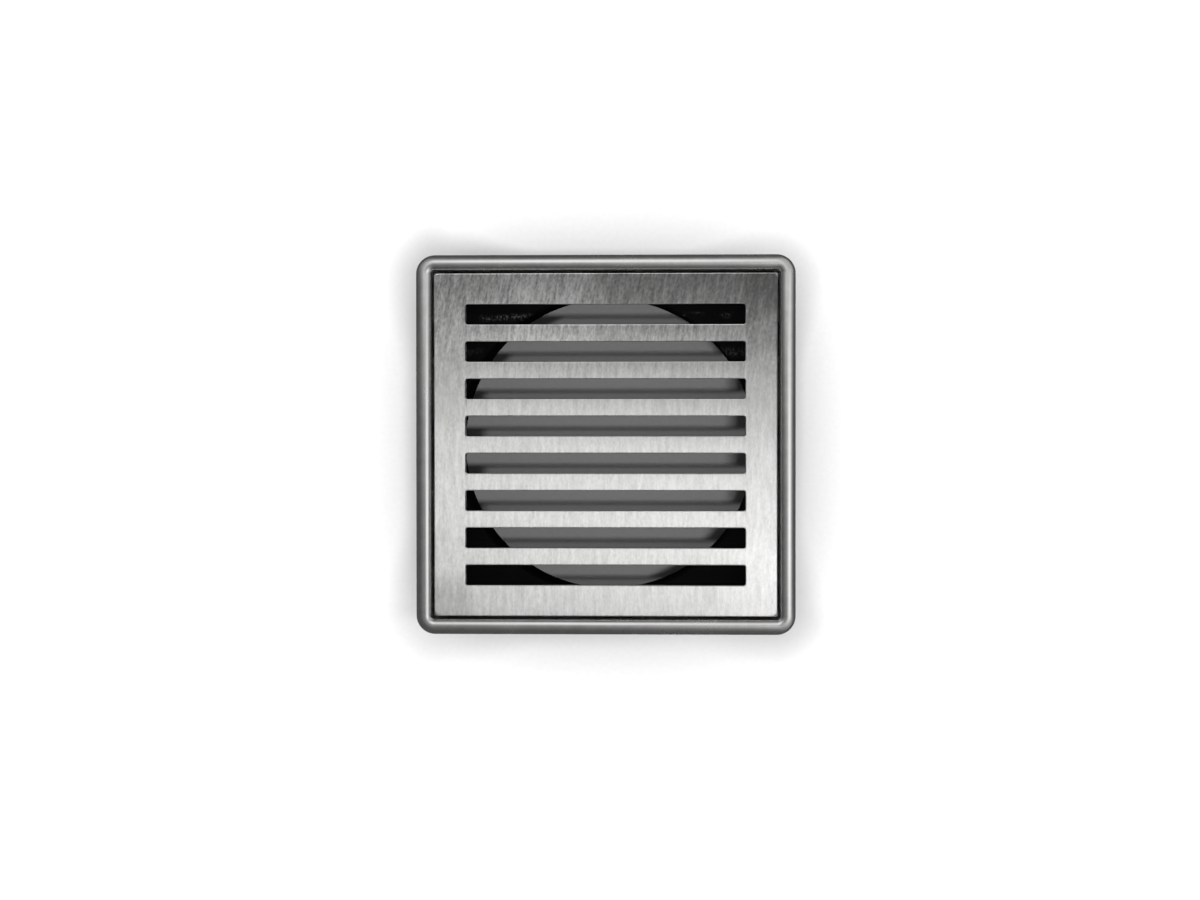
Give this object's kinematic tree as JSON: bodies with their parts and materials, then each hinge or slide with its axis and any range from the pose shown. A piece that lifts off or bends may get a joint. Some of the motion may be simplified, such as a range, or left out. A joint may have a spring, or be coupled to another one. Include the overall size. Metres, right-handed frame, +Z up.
{
  "type": "floor drain grate",
  "caption": "Square floor drain with a rolled-rim stainless bezel, a lift-out slotted plate and a black plastic riser tray with a round throat and height ring.",
  "frame": {"origin": "centre of the spigot's open end, which is the middle of the bottom of the bounding box", "axes": "+Z up from the spigot to the grate, +X along the slots, +Y across the slots"},
  "size_m": [0.108, 0.108, 0.0315],
  "materials": {
    "plate_steel": "brushed across the slots",
    "bezel_steel": "satin",
    "tray_plastic": "moulded, fine texture",
    "ring_plastic": "moulded, fine texture",
    "slip_plastic": "smooth",
    "seal_rubber": "matte",
    "pad_rubber": "matte",
    "fastener_steel": "turned",
    "spring_steel": "rolled, bright"
  },
  "bodies": {
    "frame": {"bezel_frame": "bezel_steel", "bezel_studs": "fastener_steel", "stud_washers": "fastener_steel", "stud_nuts": "fastener_steel", "bezel_gasket": "seal_rubber", "riser_body": "tray_plastic", "spigot_seal": "seal_rubber", "rest_pad_back_right": "pad_rubber", "rest_pad_back_left": "pad_rubber", "rest_pad_front_left": "pad_rubber", "rest_pad_front_right": "pad_rubber"},
    "grate": {"grate_plate": "plate_steel", "clip_right": "spring_steel", "clip_back": "spring_steel", "clip_left": "spring_steel", "clip_front": "spring_steel"},
    "washer": {"slip_washer": "slip_plastic", "bedding_seal": "seal_rubber"},
    "ring": {"height_ring": "ring_plastic"}
  },
  "joints": [
    {"name": "grate_lift", "type": "slide", "parent": "frame", "child": "grate", "axis": [0, 0, 1], "range_m": [0, 0.06]},
    {"name": "washer_travel", "type": "slide", "parent": "frame", "child": "washer", "axis": [0, 0, 1], "range_m": [-0.0013, 0.0026]},
    {"name": "ring_turn", "type": "hinge", "parent": "washer", "child": "ring", "pos_m": [0, 0, 0.01575], "axis": [0, 0, 1], "range_deg": [-180, 360]}
  ],
  "couplings": [
    {"joint": "washer_travel", "follows": "ring_turn", "m_per_rad": 0.00039789}
  ]
}
